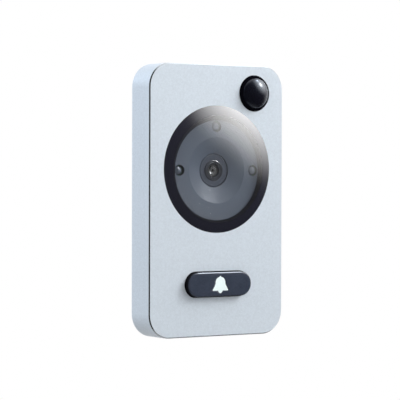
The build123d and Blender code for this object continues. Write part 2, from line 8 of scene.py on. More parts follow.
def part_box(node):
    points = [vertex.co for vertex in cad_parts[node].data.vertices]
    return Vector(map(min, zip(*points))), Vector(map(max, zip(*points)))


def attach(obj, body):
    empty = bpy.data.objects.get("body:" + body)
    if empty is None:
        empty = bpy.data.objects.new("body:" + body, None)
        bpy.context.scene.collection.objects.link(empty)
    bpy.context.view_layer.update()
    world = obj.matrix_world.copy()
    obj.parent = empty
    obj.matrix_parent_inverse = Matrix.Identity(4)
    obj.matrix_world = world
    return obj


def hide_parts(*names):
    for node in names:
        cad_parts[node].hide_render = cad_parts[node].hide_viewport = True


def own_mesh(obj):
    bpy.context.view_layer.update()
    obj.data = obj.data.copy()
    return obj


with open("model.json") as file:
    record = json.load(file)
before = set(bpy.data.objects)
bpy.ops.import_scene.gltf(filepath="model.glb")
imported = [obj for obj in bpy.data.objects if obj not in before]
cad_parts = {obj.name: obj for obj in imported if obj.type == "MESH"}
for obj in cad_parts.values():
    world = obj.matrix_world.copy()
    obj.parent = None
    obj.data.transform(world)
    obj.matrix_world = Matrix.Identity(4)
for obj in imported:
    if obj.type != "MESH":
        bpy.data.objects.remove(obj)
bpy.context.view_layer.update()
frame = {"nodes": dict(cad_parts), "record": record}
nodes = frame["nodes"]
scene = bpy.context.scene
mm = 0.001
weld = 1e-6  # points nearer than this are one
noiseRoughness, noiseRange = 0.55, (0.3, 0.7)
print("frame loaded:", len(nodes), "nodes")


# node trees, for materials and for shapes that repeat

def addNode(tree, kind, inputs=None, **settings):
    made = tree.nodes.new(kind)
    for name, value in settings.items():
        setattr(made, name, value)
    for key, value in (inputs or {}).items():
        if isinstance(value, bpy.types.NodeSocket):
            tree.links.new(value, made.inputs[key])
        else:
            made.inputs[key].default_value = value
    return made


def calc(tree, operation, first, second=0.0, third=0.0):
    inputs = {0: first, 1: second, 2: third}
    return addNode(tree, "ShaderNodeMath", inputs, operation=operation).outputs[0]


def times(tree, first, second):
    return calc(tree, "MULTIPLY", first, second)


def vectorCalc(tree, operation, first, second=(0, 0, 0)):
    made = addNode(tree, "ShaderNodeVectorMath", {0: first, 1: second}, operation=operation)
    return made.outputs["Value" if operation in ("DOT_PRODUCT", "LENGTH") else "Vector"]


def blendColour(tree, factor, first, second):
    made = addNode(tree, "ShaderNodeMix", {0: factor, 6: first, 7: second}, data_type="RGBA")
    return made.outputs[2]


def spread(tree, value, low, high, toLow=0.0, toHigh=1.0):
    inputs = {"Value": value, "From Min": low, "From Max": high, "To Min": toLow, "To Max": toHigh}
    return addNode(tree, "ShaderNodeMapRange", inputs, interpolation_type="SMOOTHSTEP").outputs[0]


# a share of the first value, and the rest of the second
def mixShares(tree, first, share, second):
    return calc(tree, "MULTIPLY_ADD", first, share, times(tree, second, 1 - share))


def grain(tree, size, detail):
    place = addNode(tree, "ShaderNodeTexCoord").outputs["Object"]
    inputs = {"Vector": place, "Scale": 1 / (size * mm), "Detail": detail, "Roughness": noiseRoughness}
    return addNode(tree, "ShaderNodeTexNoise", inputs).outputs["Fac"]


def newMaterial(name):
    material = bpy.data.materials.new(name)
    material.use_nodes = True
    return material, material.node_tree, material.node_tree.nodes["Principled BSDF"]


def setSockets(shader, **values):
    for name, value in values.items():
        shader.inputs[name.replace("_", " ")].default_value = value


def wire(tree, shader, **values):
    for name, value in values.items():
        tree.links.new(value, shader.inputs[name.replace("_", " ")])


def shaded(colour, share):
    return (colour[0] * share, colour[1] * share, colour[2] * share, 1)


drifts = {"fineShare": 0.6, "broadSize": 14, "range": (0.25, 0.75), "roughness": 0.15, "bump": 0.5}


# grain, colour drift and roughness drift that every finish has, at its own scale
def surface(name, colour, roughness, grainSize, depth, drift=0.12, **sockets):
    material, tree, shader = newMaterial(name)
    fine = grain(tree, grainSize, 3.0)
    broad = grain(tree, grainSize * drifts["broadSize"], 2.0)
    mixed = mixShares(tree, fine, drifts["fineShare"], broad)
    tone = blendColour(tree, mixed, shaded(colour, 1 - drift), shaded(colour, 1 + drift))
    smoothest = roughness * (1 - drifts["roughness"])
    roughest = min(1.0, roughness * (1 + drifts["roughness"]))
    rough = spread(tree, mixed, *drifts["range"], smoothest, roughest)
    inputs = {"Height": fine, "Strength": drifts["bump"], "Distance": depth * mm}
    bump = addNode(tree, "ShaderNodeBump", inputs).outputs[0]
    wire(tree, shader, Base_Color=tone, Roughness=rough, Normal=bump)
    setSockets(shader, **sockets)
    return material


wipeMarks = {"size": 4.0, "detail": 4.0, "faint": 0.45, "full": 0.8}


# clear mouldings: lamps shine through them on to what lies behind
def clearPlastic(name, tint, ior, haze, glint=1.0):
    material, tree, shader = newMaterial(name)
    marks = grain(tree, wipeMarks["size"], wipeMarks["detail"])
    wire(tree, shader, Roughness=spread(tree, marks, wipeMarks["faint"], wipeMarks["full"], 0.0, haze))
    setSockets(shader, Base_Color=(*tint, 1), IOR=ior, Transmission_Weight=1.0,
               Specular_Tint=(glint, glint, glint, 1))
    path = addNode(tree, "ShaderNodeLightPath").outputs
    through = addNode(tree, "ShaderNodeBsdfTransparent", {"Color": (*tint, 1)}).outputs[0]
    choice = shader.outputs[0]
    for ray in ("Is Diffuse Ray", "Is Shadow Ray"):
        inputs = {0: path[ray], 1: choice, 2: through}
        choice = addNode(tree, "ShaderNodeMixShader", inputs).outputs[0]
    wire(tree, tree.nodes["Material Output"], Surface=choice)
    return material


silver = {
    "colour": (0.665, 0.732, 0.8),
    "drift": 0.08,
    "metal": 0.3,
    "roughness": (0.42, 0.48),
    "grain": 0.28,
    "speck": 0.9,
    "grainShare": 0.7,
    "depth": 0.012,
    "bump": 0.5,
    "cutColour": (0.66, 0.7, 0.75, 1),
    "cutRoughness": 0.16,
    "cutLean": math.sqrt(0.5),
    "cutReach": 0.12,
}


# blasted satin silver, with a bright cut on the bevels
def satinSilver():
    material, tree, shader = newMaterial("satinSilver")
    fine = grain(tree, silver["grain"], 3.0)
    specks = grain(tree, silver["speck"], 1.0)
    mixed = mixShares(tree, fine, silver["grainShare"], specks)
    colour, drift, metal = silver["colour"], silver["drift"], silver["metal"]
    patchy = spread(tree, mixed, *noiseRange)
    tone = blendColour(tree, patchy, shaded(colour, 1 - drift), shaded(colour, 1 + drift))
    facing = addNode(tree, "ShaderNodeNewGeometry").outputs["True Normal"]
    lean = vectorCalc(tree, "DOT_PRODUCT", facing, (0, -1, 0))
    cut = calc(tree, "COMPARE", lean, silver["cutLean"], silver["cutReach"])
    uncut = calc(tree, "SUBTRACT", 1.0, cut)
    rough = spread(tree, mixed, *noiseRange, *silver["roughness"])
    roughCut = times(tree, cut, silver["cutRoughness"])
    bump = addNode(tree, "ShaderNodeBump", {"Height": fine, "Distance": silver["depth"] * mm})
    wire(tree, bump, Strength=times(tree, uncut, silver["bump"]))
    wire(tree, shader,
         Base_Color=blendColour(tree, cut, tone, silver["cutColour"]),
         Roughness=calc(tree, "MULTIPLY_ADD", rough, uncut, roughCut),
         Metallic=calc(tree, "MULTIPLY_ADD", cut, 1 - metal, metal),
         Normal=bump.outputs[0])
    return material


spangle = {
    "colour": (0.46, 0.48, 0.5),
    "contrast": 0.16,
    "cell": 5.5,
    "warpSize": 3.0,
    "warpReach": 1.5,
    "grain": 0.35,
    "grainShare": 0.35,
    "roughness": (0.3, 0.46),
    "depth": 0.02,
    "bump": 0.4,
}


# zinc-dipped steel: crystals that each catch the light a little differently
def dippedZinc():
    material, tree, shader = newMaterial("dippedZinc")
    place = addNode(tree, "ShaderNodeTexCoord").outputs["Object"]
    inputs = {"Vector": place, "Scale": 1 / (spangle["warpSize"] * mm), "Detail": 2.0}
    warp = addNode(tree, "ShaderNodeTexNoise", inputs).outputs["Color"]
    shift = vectorCalc(tree, "SUBTRACT", warp, (0.5, 0.5, 0.5))
    shift = vectorCalc(tree, "MULTIPLY", shift, [spangle["warpReach"] * mm] * 3)
    inputs = {"Vector": vectorCalc(tree, "ADD", place, shift), "Scale": 1 / (spangle["cell"] * mm)}
    cells = addNode(tree, "ShaderNodeTexVoronoi", inputs).outputs["Color"]
    tint = addNode(tree, "ShaderNodeSeparateColor", {0: cells}).outputs
    mixed = mixShares(tree, grain(tree, spangle["grain"], 3.0), spangle["grainShare"], tint[0])
    colour, contrast = spangle["colour"], spangle["contrast"]
    tone = blendColour(tree, mixed, shaded(colour, 1 - contrast), shaded(colour, 1 + contrast))
    rough = spread(tree, tint[1], 0.0, 1.0, *spangle["roughness"])
    inputs = {"Height": mixed, "Strength": spangle["bump"], "Distance": spangle["depth"] * mm}
    bump = addNode(tree, "ShaderNodeBump", inputs).outputs[0]
    wire(tree, shader, Base_Color=tone, Roughness=rough, Normal=bump)
    setSockets(shader, Metallic=1.0)
    return material


tracks = {
    "mask": (0.016, 0.095, 0.042),
    "copper": (0.04, 0.19, 0.075),
    "shade": (0.01, 0.05, 0.02),
    "shadeShare": 0.3,
    "pitch": 2.6,
    "unevenness": 0.7,
    "width": 0.16,
    "grain": 0.4,
    "lineShare": 0.7,
    "roughness": (0.3, 0.45),
    "depth": 0.03,
    "bump": 0.5,
}


# solder mask with the lighter lines of the copper under it
def trackedBoard():
    material, tree, shader = newMaterial("boardGreen")
    place = addNode(tree, "ShaderNodeTexCoord").outputs["Object"]
    flat = vectorCalc(tree, "MULTIPLY", place, (1, 0, 1))
    inputs = {"Vector": flat, "Scale": 1 / (tracks["pitch"] * mm), "Randomness": tracks["unevenness"]}
    near, far = (addNode(tree, "ShaderNodeTexVoronoi", inputs, distance="CHEBYCHEV",
                         feature=feature).outputs["Distance"] for feature in ("F1", "F2"))
    line = calc(tree, "LESS_THAN", calc(tree, "SUBTRACT", far, near), tracks["width"])
    fine = grain(tree, tracks["grain"], 3.0)
    tone = blendColour(tree, line, (*tracks["mask"], 1), (*tracks["copper"], 1))
    shade = times(tree, fine, tracks["shadeShare"])
    tone = blendColour(tree, shade, tone, (*tracks["shade"], 1))
    rough = spread(tree, fine, *noiseRange, *tracks["roughness"])
    height = mixShares(tree, line, tracks["lineShare"], fine)
    inputs = {"Height": height, "Strength": tracks["bump"], "Distance": tracks["depth"] * mm}
    bump = addNode(tree, "ShaderNodeBump", inputs).outputs[0]
    wire(tree, shader, Base_Color=tone, Roughness=rough, Normal=bump)
    return material


pane = {"tint": (0.96, 0.97, 0.985), "ior": 1.55, "glint": 0.05}

# each surface: colour, roughness, size and depth of the grain in mm, colour drift
finishes = {
    "shell_silver": satinSilver(),
    "chassis_black": surface("chassisBlack", (0.02, 0.021, 0.024), 0.55, 0.25, 0.02),
    "cover_black": surface("coverBlack", (0.028, 0.029, 0.032), 0.5, 0.4, 0.05),
    "tape_black": surface("tapeBlack", (0.015, 0.015, 0.016), 0.85, 0.2, 0.04),
    "window_clear": clearPlastic("windowClear", **pane, haze=0.004),
    "mask_black": surface("maskBlack", (0.0086, 0.0088, 0.0173), 0.35, 0.15, 0.004,
                          Specular_IOR_Level=0.25),
    "surround_grey": surface("surroundGrey", (0.091, 0.113, 0.15), 0.43, 0.2, 0.006, 0.05,
                             Specular_IOR_Level=0.75),
    "lamp_clear": surface("lampClear", (0.143, 0.169, 0.205), 0.1, 1.0, 0.004, 0.1, IOR=1.5,
                          Coat_Weight=1.0, Coat_IOR=2.0),
    "lens_black": surface("lensBlack", (0.074, 0.0845, 0.11), 0.42, 0.12, 0.003,
                          Specular_IOR_Level=0.3),
    "lens_glass": clearPlastic("lensGlass", (0.62, 0.63, 0.63), 1.62, 0.01),
    "filter_glass": clearPlastic("filterGlass", (0.55, 0.8, 0.86), 1.5, 0.01),
    "chip_black": surface("chipBlack", (0.017, 0.017, 0.019), 0.6, 0.15, 0.02),
    "board_green": trackedBoard(),
    "steel": surface("zincSteel", (0.52, 0.53, 0.55), 0.32, 0.3, 0.008, 0.1, Metallic=1.0),
    "pin_gold": surface("pinGold", (0.72, 0.54, 0.26), 0.28, 0.2, 0.004, 0.08, Metallic=1.0),
    "dome_black": surface("domeBlack", (0.004, 0.0036, 0.008), 0.28, 1.2, 0.002, IOR=1.42,
                          Specular_Tint=(0.6, 0.78, 1.0, 1), Coat_Weight=0.6,
                          Coat_Roughness=0.04, Coat_IOR=1.5),
    "button_black": surface("buttonBlack", (0.038, 0.0465, 0.069), 0.14, 0.4, 0.004, 0.55),
    "bell_white": surface("bellWhite", (0.79, 0.9, 0.9), 0.4, 0.2, 0.004, 0.02),
    "silicone": surface("siliconeGrey", (0.04, 0.041, 0.044), 0.62, 0.3, 0.02),
    "socket_ivory": surface("socketIvory", (0.7, 0.66, 0.55), 0.42, 0.3, 0.01, 0.05),
}

# colour of the painted shade on steep sides, and the leans it fades over
paintedWallShade = {
    "colour": (0.012, 0.014, 0.018, 1),
    "leans": {"surround_grey": (0.1, 0.5), "lamp_clear": (0.35, 0.8)},  # steep, flat
}


# painted shade: steep sides, such as those of the lamp wells, are painted dark where shade falls in the
# wells
def paintWallShade(material, steep, flat):
    tree = material.node_tree
    shader = tree.nodes["Principled BSDF"]
    tone = shader.inputs["Base Color"].links[0].from_socket
    facing = addNode(tree, "ShaderNodeNewGeometry").outputs["True Normal"]
    lean = calc(tree, "ABSOLUTE", vectorCalc(tree, "DOT_PRODUCT", facing, (0, 1, 0)))
    side = spread(tree, lean, steep, flat, 1.0, 0.0)
    wire(tree, shader, Base_Color=blendColour(tree, side, tone, paintedWallShade["colour"]))


# paints shade on the steep walls of the lamp wells and on the lamps' sides
for slotName, leans in paintedWallShade["leans"].items():
    paintWallShade(finishes[slotName], *leans)
for part in frame["record"]["subparts"]:
    node = nodes[part["node"]]
    node.data.materials.clear()
    node.data.materials.append(finishes[part["material_slot"]])
nodes["wall_bracket"].data.materials[0] = dippedZinc()
print("finishes:", len(finishes))


# pieces built here

def addPiece(name, mesh, slotName, body, *replaced):
    piece = bpy.data.objects.new(name, mesh)
    scene.collection.objects.link(piece)
    if not mesh.materials:
        mesh.materials.append(finishes[slotName])
    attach(piece, body)
    if replaced:
        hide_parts(*replaced)
    return piece


def smoothMesh(mesh, angle=35):
    mesh.shade_smooth()
    mesh.set_sharp_from_angle(angle=math.radians(angle))
    return mesh


# mesh with its faces turned outwards
def closeMesh(name, made):
    bmesh.ops.recalc_face_normals(made, faces=made.faces)
    mesh = bpy.data.meshes.new(name)
    made.to_mesh(mesh)
    made.free()
    return mesh


def bend(start, corner, end, steps):
    start, corner, end = Vector(start), Vector(corner), Vector(end)
    shares = [step / steps for step in range(steps + 1)]
    return [tuple(start.lerp(corner, share).lerp(corner.lerp(end, share), share)) for share in shares]


# corners of a closed (radius, depth) loop, each rounded by its third number
def roundLoop(corners, steps=5, most=0.49):
    loop = []
    for index, (x, y, radius) in enumerate(corners):
        if radius <= 0:
            loop.append((x, y))
            continue
        here = Vector((x, y))
        before = Vector(corners[index - 1][:2]) - here
        after = Vector(corners[(index + 1) % len(corners)][:2]) - here
        half = before.angle(after) / 2
        reach = min(radius / math.tan(half), before.length * most, after.length * most)
        loop += bend(here + before.normalized() * reach, here, here + after.normalized() * reach, steps)
    return loop


# solid of a closed (radius, depth) loop about an axis square to the wall
def lathe(name, loop, x, z, steps=128):
    made = bmesh.new()
    rings = []
    for radius, depth in loop:
        turns = [0.0] if radius < weld else [2 * math.pi * step / steps for step in range(steps)]
        reach = radius * mm
        rings.append([made.verts.new((x + reach * math.cos(turn), -depth * mm, z + reach * math.sin(turn)))
                      for turn in turns])
    for ring, following in zip(rings, rings[1:] + rings[:1]):
        if len(ring) == len(following) == 1:
            continue
        for step in range(steps):
            corners = [ring[step % len(ring)], ring[(step + 1) % len(ring)],
                       following[(step + 1) % len(following)], following[step % len(following)]]
            made.faces.new(list(dict.fromkeys(corners)))
    return smoothMesh(closeMesh(name, made))


def arcPoints(halfWidth, foot, rise, steps):
    ball = (halfWidth**2 + rise**2) / (2 * rise)
    widest = math.asin(halfWidth / ball)
    angles = [widest * (1 - step / steps) for step in range(steps + 1)]
    return [(ball * math.sin(angle), foot + rise - ball * (1 - math.cos(angle))) for angle in angles]


def middleOf(node):
    low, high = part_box(node)
    return (low + high) / 2


# boxes of the separate bodies in a node's mesh
def bodiesOf(nodeName):
    made = bmesh.new()
    made.from_mesh(nodes[nodeName].data)
    bmesh.ops.remove_doubles(made, verts=made.verts, dist=weld)
    waiting = set(made.verts)
    boxes = []
    while waiting:
        group, reached = [], [waiting.pop()]
        while reached:
            vert = reached.pop()
            group.append(vert.co.copy())
            for edge in vert.link_edges:
                other = edge.other_vert(vert)
                if other in waiting:
                    waiting.discard(other)
                    reached.append(other)
        low = Vector([min(point[axis] for point in group) for axis in range(3)])
        high = Vector([max(point[axis] for point in group) for axis in range(3)])
        boxes.append((low, high))
    made.free()
    return sorted(boxes, key=lambda box: (round(box[0].x, 6), round(box[0].z, 6)))


windowSizes = {
    "radius": 26.93, "rear": 12.55, "rim": 14.0, "crown": 3.0, "fullness": 2.4, "edge": 0.2,
    "steps": 64, "turns": 192,
    "insideHaze": 0.02, "coatIor": 2.82, "coatRoughness": 0.15,
    "border": 22.6, "borderColour": (0.0096, 0.0098, 0.021), "rearLean": 0.99,
}


# lens-like pane, fuller towards its rim than a ball would be, with a printed border
def makeWindow():
    sizes = windowSizes
    middle = middleOf("camera_window")
    radius, rear, rim, edge = (sizes[name] for name in ("radius", "rear", "rim", "edge"))
    inner = radius - edge
    loop = [(0, rear), (inner - edge, rear), (inner, rear + edge), (inner, rim - edge)]
    for step in range(sizes["steps"] + 1):
        share = 1 - step / sizes["steps"]
        loop.append((radius * share, rim + sizes["crown"] * (1 - share ** sizes["fullness"])))
    mesh = lathe("windowDome", loop, middle.x, middle.z, sizes["turns"])
    clear = finishes["window_clear"]
    inside = clearPlastic("windowInside", **pane, haze=sizes["insideHaze"])
    border = surface("windowBorder", sizes["borderColour"], 0.5, 0.3, 0.0, Specular_IOR_Level=0.0)
    for coated in (clear, border):
        setSockets(coated.node_tree.nodes["Principled BSDF"], Coat_Weight=1.0,
                   Coat_Roughness=sizes["coatRoughness"], Coat_IOR=sizes["coatIor"])
    for material in (clear, inside, border):
        mesh.materials.append(material)
    for face in mesh.polygons:
        reach = math.hypot(face.center.x - middle.x, face.center.z - middle.z)
        outer = reach > sizes["border"] * mm and face.normal.y < 0
        face.material_index = 1 if face.normal.y > sizes["rearLean"] else 2 if outer else 0
    addPiece("windowDome", mesh, "window_clear", "unit", "camera_window")


makeWindow()
print("window made")

# loops: radius, depth and rounding of each corner
lensSizes = {
    "barrel": [(2.6, 7.25, 0.05), (4.45, 7.25, 0.05), (4.45, 9.0, 0), (6.9, 9.0, 0.05), (6.9, 9.2, 0.06),
               (6.55, 9.32, 0.06), (6.35, 9.45, 0.05), (6.2, 9.45, 0.04), (6.1, 9.32, 0.05),
               (4.75, 9.3, 0.05), (4.5, 9.2, 0.03), (4.05, 9.2, 0), (4.05, 8.5, 0), (2.6, 8.5, 0)],
    "ring": [(2.75, 9.0, 0), (4.25, 9.2, 0), (4.25, 9.66, 0.02), (3.95, 9.8, 0.02), (3.72, 9.8, 0.02),
             (3.7, 9.5, 0.02), (3.45, 9.5, 0.02), (3.25, 9.6, 0.02), (2.9, 9.6, 0.02), (2.85, 9.3, 0.02)],
    "iris": [(0.35, 8.42, 0.01), (2.5, 8.42, 0.01), (2.5, 8.48, 0.01), (0.35, 8.48, 0.01)],
    "irisTurns": 64,
    "glass": {"radius": 4.0, "rear": 8.5, "shoulder": 8.95, "neck": 2.0, "foot": 9.0, "rise": 1.05},
    "glassSteps": 24,
}


def makeLens():
    middle = middleOf("lens_barrel")
    barrel = lathe("lensBarrel", roundLoop(lensSizes["barrel"]), middle.x, middle.z)
    addPiece("lensBarrel", barrel, "lens_black", "unit", "lens_barrel")
    ring = lathe("lensRing", roundLoop(lensSizes["ring"]), middle.x, middle.z)
    ring.materials.append(surface("lensRingGrey", (0.05, 0.054, 0.064), 0.12, 0.2, 0.001,
                                  Coat_Weight=1.0, Coat_IOR=1.9))
    addPiece("lensRing", ring, "lens_black", "unit", "lens_ring")
    iris = lathe("lensIris", roundLoop(lensSizes["iris"], 2), middle.x, middle.z, lensSizes["irisTurns"])
    iris.materials.append(surface("irisGrey", (0.34, 0.32, 0.31), 0.5, 0.5, 0.01, 0.5))
    addPiece("lensIris", iris, "lens_black", "unit")
    sizes = lensSizes["glass"]
    loop = [(0, sizes["rear"]), (sizes["radius"], sizes["rear"]),
            (sizes["radius"], sizes["shoulder"]), (sizes["neck"], sizes["shoulder"])]
    loop += arcPoints(sizes["neck"], sizes["foot"], sizes["rise"], lensSizes["glassSteps"])
    glass = lathe("frontLens", loop, middle.x, middle.z)
    addPiece("frontLens", glass, "lens_glass", "unit", "front_lens")


makeLens()
print("lens made")

domeSizes = {
    "ring": [(6.5, 12.2, 0.05), (7.4, 12.2, 0.05), (7.4, 14.7, 0.3), (6.9, 15.2, 0.25), (6.5, 15.2, 0.05)],
    "foot": [(5.55, 11.2, 0.05), (6.85, 11.2, 0.05), (6.85, 12.2, 0.05), (6.45, 12.2, 0), (6.45, 15.1, 0)],
    "shoulder": [(6.45, 15.15), (6.21, 15.763), (5.6, 16.2)],
    "shoulderSteps": 10,
    "ball": {"halfWidth": 5.6, "foot": 16.2, "rise": 1.8, "steps": 48},
    "inside": [(0, 17.1), (2.4, 16.7), (4.4, 15.5), (5.55, 14.2)],
    "turns": 160,
}


# glossy dome with a rounded shoulder, in a matt ring
def makeDome():
    sizes = domeSizes
    middle = middleOf("motion_dome")
    ring = lathe("domeRing", roundLoop(sizes["ring"]), middle.x, middle.z)
    ring.materials.append(surface("domeRingBlack", (0.003, 0.003, 0.005), 0.5, 0.2, 0.01,
                                  Specular_IOR_Level=0.0))
    addPiece("domeRing", ring, "dome_black", "unit", "dome_ring")
    shoulder = bend(*sizes["shoulder"], sizes["shoulderSteps"])
    ball = arcPoints(**sizes["ball"])[1:]  # its first point is the shoulder's last
    loop = roundLoop(sizes["foot"]) + shoulder + ball + sizes["inside"]
    dome = lathe("motionDome", loop, middle.x, middle.z, sizes["turns"])
    addPiece("motionDome", dome, "dome_black", "unit", "motion_dome")


makeDome()
print("motion dome made")

buttonSizes = {
    "width": 32.1, "height": 10.15,
    "profile": [(0, 16.6), (1.5, 16.59), (3.0, 16.56), (4.1, 16.52)],
    "edge": [(4.1, 16.52, 0), (4.65, 16.45, 0.1), (5.075, 16.14, 0.12), (5.075, 10.0, 0.15),
             (7.275, 10.0, 0.2), (7.275, 8.9, 0.2), (3.675, 8.9, 0), (3.675, 14.6, 0.3),
             (2.4, 14.6, 0.3), (2.4, 8.7, 0.1), (0, 8.7, 0)],
    "bedFloor": 0.3, "bedOver": 1.0,  # foot that the sign's cutter keeps, and how far it stands out
    "sideLean": 0.3, "smooth": 30,
}


# rings at a growing distance from the button's long axis
def makePill(name, rings, halfRun, x, z, turns=24, runs=12):
    made = bmesh.new()
    rows = []
    for reach, depth in rings:
        row = []
        for side in (1, -1):
            for turn in range(turns + 1):
                angle = math.pi * (turn / turns - 0.5) + (0 if side > 0 else math.pi)
                row.append((side * halfRun + reach * math.cos(angle), depth, reach * math.sin(angle)))
            for run in range(1, runs):
                row.append((side * halfRun * (1 - 2 * run / runs), depth, side * reach))
        rows.append([made.verts.new((x + u * mm, -v * mm, z + w * mm)) for u, v, w in row])
    for row, following in zip(rows, rows[1:]):
        for index in range(len(row)):
            after = (index + 1) % len(row)
            made.faces.new((row[index], row[after], following[after], following[index]))
    bmesh.ops.remove_doubles(made, verts=made.verts, dist=weld)
    bmesh.ops.dissolve_degenerate(made, edges=made.edges, dist=weld)
    return closeMesh(name, made)


# result of cutting one mesh with another
def cutMesh(mesh, cutter):
    body = bpy.data.objects.new("cutBody", mesh)
    tool = bpy.data.objects.new("cutTool", cutter)
    scene.collection.objects.link(body)
    scene.collection.objects.link(tool)
    cut = body.modifiers.new("cut", "BOOLEAN")
    cut.operation, cut.solver, cut.object = "DIFFERENCE", "EXACT", tool
    done = bpy.data.meshes.new_from_object(body.evaluated_get(bpy.context.evaluated_depsgraph_get()))
    for spent in (body, tool):
        bpy.data.objects.remove(spent)
    return done


# cap with a bed for the bell sign
def makeButton():
    sizes = buttonSizes
    middle = middleOf("button_cap")
    halfRun = (sizes["width"] - sizes["height"]) / 2
    edge = roundLoop(sizes["edge"])[1:]  # its first corner ends the profile
    mesh = makePill("buttonCap", sizes["profile"] + edge, halfRun, middle.x, middle.z)
    bed = bmesh.new()
    bed.from_mesh(nodes["bell_symbol"].data)
    bmesh.ops.remove_doubles(bed, verts=bed.verts, dist=weld)
    low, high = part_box("bell_symbol")
    for vert in bed.verts:
        if vert.co.y < high.y - sizes["bedFloor"] * mm:
            vert.co.y = low.y - sizes["bedOver"] * mm
    cutter = bpy.data.meshes.new("bellBed")
    bed.to_mesh(cutter)
    bed.free()
    mesh = smoothMesh(cutMesh(mesh, cutter), sizes["smooth"])
    mesh.name = "buttonCap"
    mesh.materials.clear()
    mesh.materials.append(finishes["button_black"])
    # the side walls are matt, and their darker colour is painted shade
    mesh.materials.append(surface("buttonSidePaintedShade", (0.004, 0.0045, 0.008), 0.6, 0.3, 0.01, 0.3,
                                  Specular_IOR_Level=0.1))
    for face in mesh.polygons:
        face.material_index = 1 if abs(face.normal.y) < sizes["sideLean"] else 0
    addPiece("buttonCap", mesh, "button_black", "button", "button_cap")


skirtSizes = {
    "profile": [(6.275, 6.0), (6.275, 6.35), (6.62, 6.6), (6.82, 7.3), (6.62, 8.1),
                (6.275, 8.45), (6.275, 8.9), (7.275, 8.9), (7.275, 8.5), (6.92, 8.2),
                (7.12, 7.3), (6.92, 6.6), (7.275, 6.4), (7.275, 6.0)],
    "travel": 0.8, "rise": 2.9, "smooth": 50,
}


# soft bellows behind the button
def makeSkirt():
    sizes = skirtSizes
    middle = middleOf("button_skirt")
    halfRun = (buttonSizes["width"] - buttonSizes["height"]) / 2
    rings = sizes["profile"] + sizes["profile"][:1]
    mesh = makePill("buttonSkirt", rings, halfRun, middle.x, middle.z)
    skirt = addPiece("buttonSkirt", smoothMesh(mesh, sizes["smooth"]), "silicone", "unit", "button_skirt")
    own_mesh(skirt)


makeButton()
makeSkirt()
print("button made")


# shapes that repeat

def newTree(name, sizes):
    tree = bpy.data.node_groups.new(name, "GeometryNodeTree")
    tree.is_modifier = True
    tree.interface.new_socket("Geometry", in_out="INPUT", socket_type="NodeSocketGeometry")
    for label in sizes:
        tree.interface.new_socket(label, in_out="INPUT", socket_type="NodeSocketFloat")
    tree.interface.new_socket("Finish", in_out="INPUT", socket_type="NodeSocketMaterial")
    tree.interface.new_socket("Geometry", in_out="OUTPUT", socket_type="NodeSocketGeometry")
    return tree, addNode(tree, "NodeGroupInput").outputs


def movePoints(tree, geometry, x, y, z):
    place = addNode(tree, "ShaderNodeCombineXYZ", {0: x, 1: y, 2: z}).outputs[0]
    return addNode(tree, "GeometryNodeSetPosition", {"Geometry": geometry, "Position": place}).outputs[0]


def pointParts(tree):
    place = addNode(tree, "GeometryNodeInputPosition").outputs[0]
    return addNode(tree, "ShaderNodeSeparateXYZ", {0: place}).outputs


def joinAll(tree, *parts):
    joined = addNode(tree, "GeometryNodeJoinGeometry")
    for part in reversed(parts):
        tree.links.new(part, joined.inputs[0])
    return joined.outputs[0]


# copies on the points, their axis along the depth, each turned by chance
def endTree(tree, given, shape, seed):
    spin = addNode(tree, "FunctionNodeRandomValue", {"Seed": seed}, data_type="FLOAT")
    spin.inputs[3].default_value = 2 * math.pi
    turn = addNode(tree, "ShaderNodeCombineXYZ", {0: math.pi / 2, 1: spin.outputs[1], 2: 0.0}).outputs[0]
    turn = addNode(tree, "FunctionNodeEulerToRotation", {0: turn}).outputs[0]
    smooth = addNode(tree, "GeometryNodeSetShadeSmooth", {"Geometry": shape}).outputs[0]
    inputs = {"Points": given["Geometry"], "Instance": smooth, "Rotation": turn}
    copies = addNode(tree, "GeometryNodeInstanceOnPoints", inputs).outputs[0]
    real = addNode(tree, "GeometryNodeRealizeInstances", {0: copies}).outputs[0]
    inputs = {"Geometry": real, "Material": given["Finish"]}
    painted = addNode(tree, "GeometryNodeSetMaterial", inputs).outputs[0]
    addNode(tree, "NodeGroupOutput", {0: painted})
    return tree


def growMesh(name, places, tree, sizes, finish):
    dots = bpy.data.meshes.new(name)
    dots.from_pydata([tuple(place) for place in places], [], [])
    grown = bpy.data.objects.new(name, dots)
    scene.collection.objects.link(grown)
    modifier = grown.modifiers.new(name, "NODES")
    modifier.node_group = tree
    for item in tree.interface.items_tree:
        if item.in_out == "INPUT" and item.name in sizes:
            modifier[item.identifier] = sizes[item.name] * mm
        if item.in_out == "INPUT" and item.name == "Finish":
            modifier[item.identifier] = finish
    mesh = bpy.data.meshes.new_from_object(grown.evaluated_get(bpy.context.evaluated_depsgraph_get()))
    grown.modifiers.clear()
    bpy.data.objects.remove(grown)
    mesh.name = name
    return smoothMesh(mesh)


screwSizes = {
    "cover_screws": {
        "piece": "coverScrews", "Shank Radius": 1.2, "Head Radius": 2.1, "Head Height": 0.9},
    "board_screws": {
        "piece": "boardScrews", "Shank Radius": 0.9, "Head Radius": 1.7, "Head Height": 0.6},
    "surround_screws": {
        "piece": "surroundScrews", "Shank Radius": 0.7, "Head Radius": 1.4, "Head Height": 0.6},
    "lamp_board_screws": {
        "piece": "lampBoardScrews", "Shank Radius": 0.7, "Head Radius": 1.4, "Head Height": 0.6},
}
screwShares = {
    "crown": 0.5, "slotLength": 1.1, "slotWidth": 0.24, "slotDepth": 1.1,  # of the head
    "core": 0.84, "tip": 0.3, "tipFrom": 0.8,  # of the shank
    "pitch": 0.75, "ridge": 0.16, "threadEnd": 0.8, "threadLength": 0.86,
    "seed": 7,
}
screwSteps = {"head": (40, 8), "core": (24, 12), "coil": 20, "ridge": 3}


def rodMesh(tree, corners, rows):
    inputs = {"Vertices": corners, "Side Segments": rows, "Fill Segments": 1, "Radius": 1.0, "Depth": 1.0}
    return addNode(tree, "GeometryNodeMeshCylinder", inputs, fill_type="NGON").outputs[0]


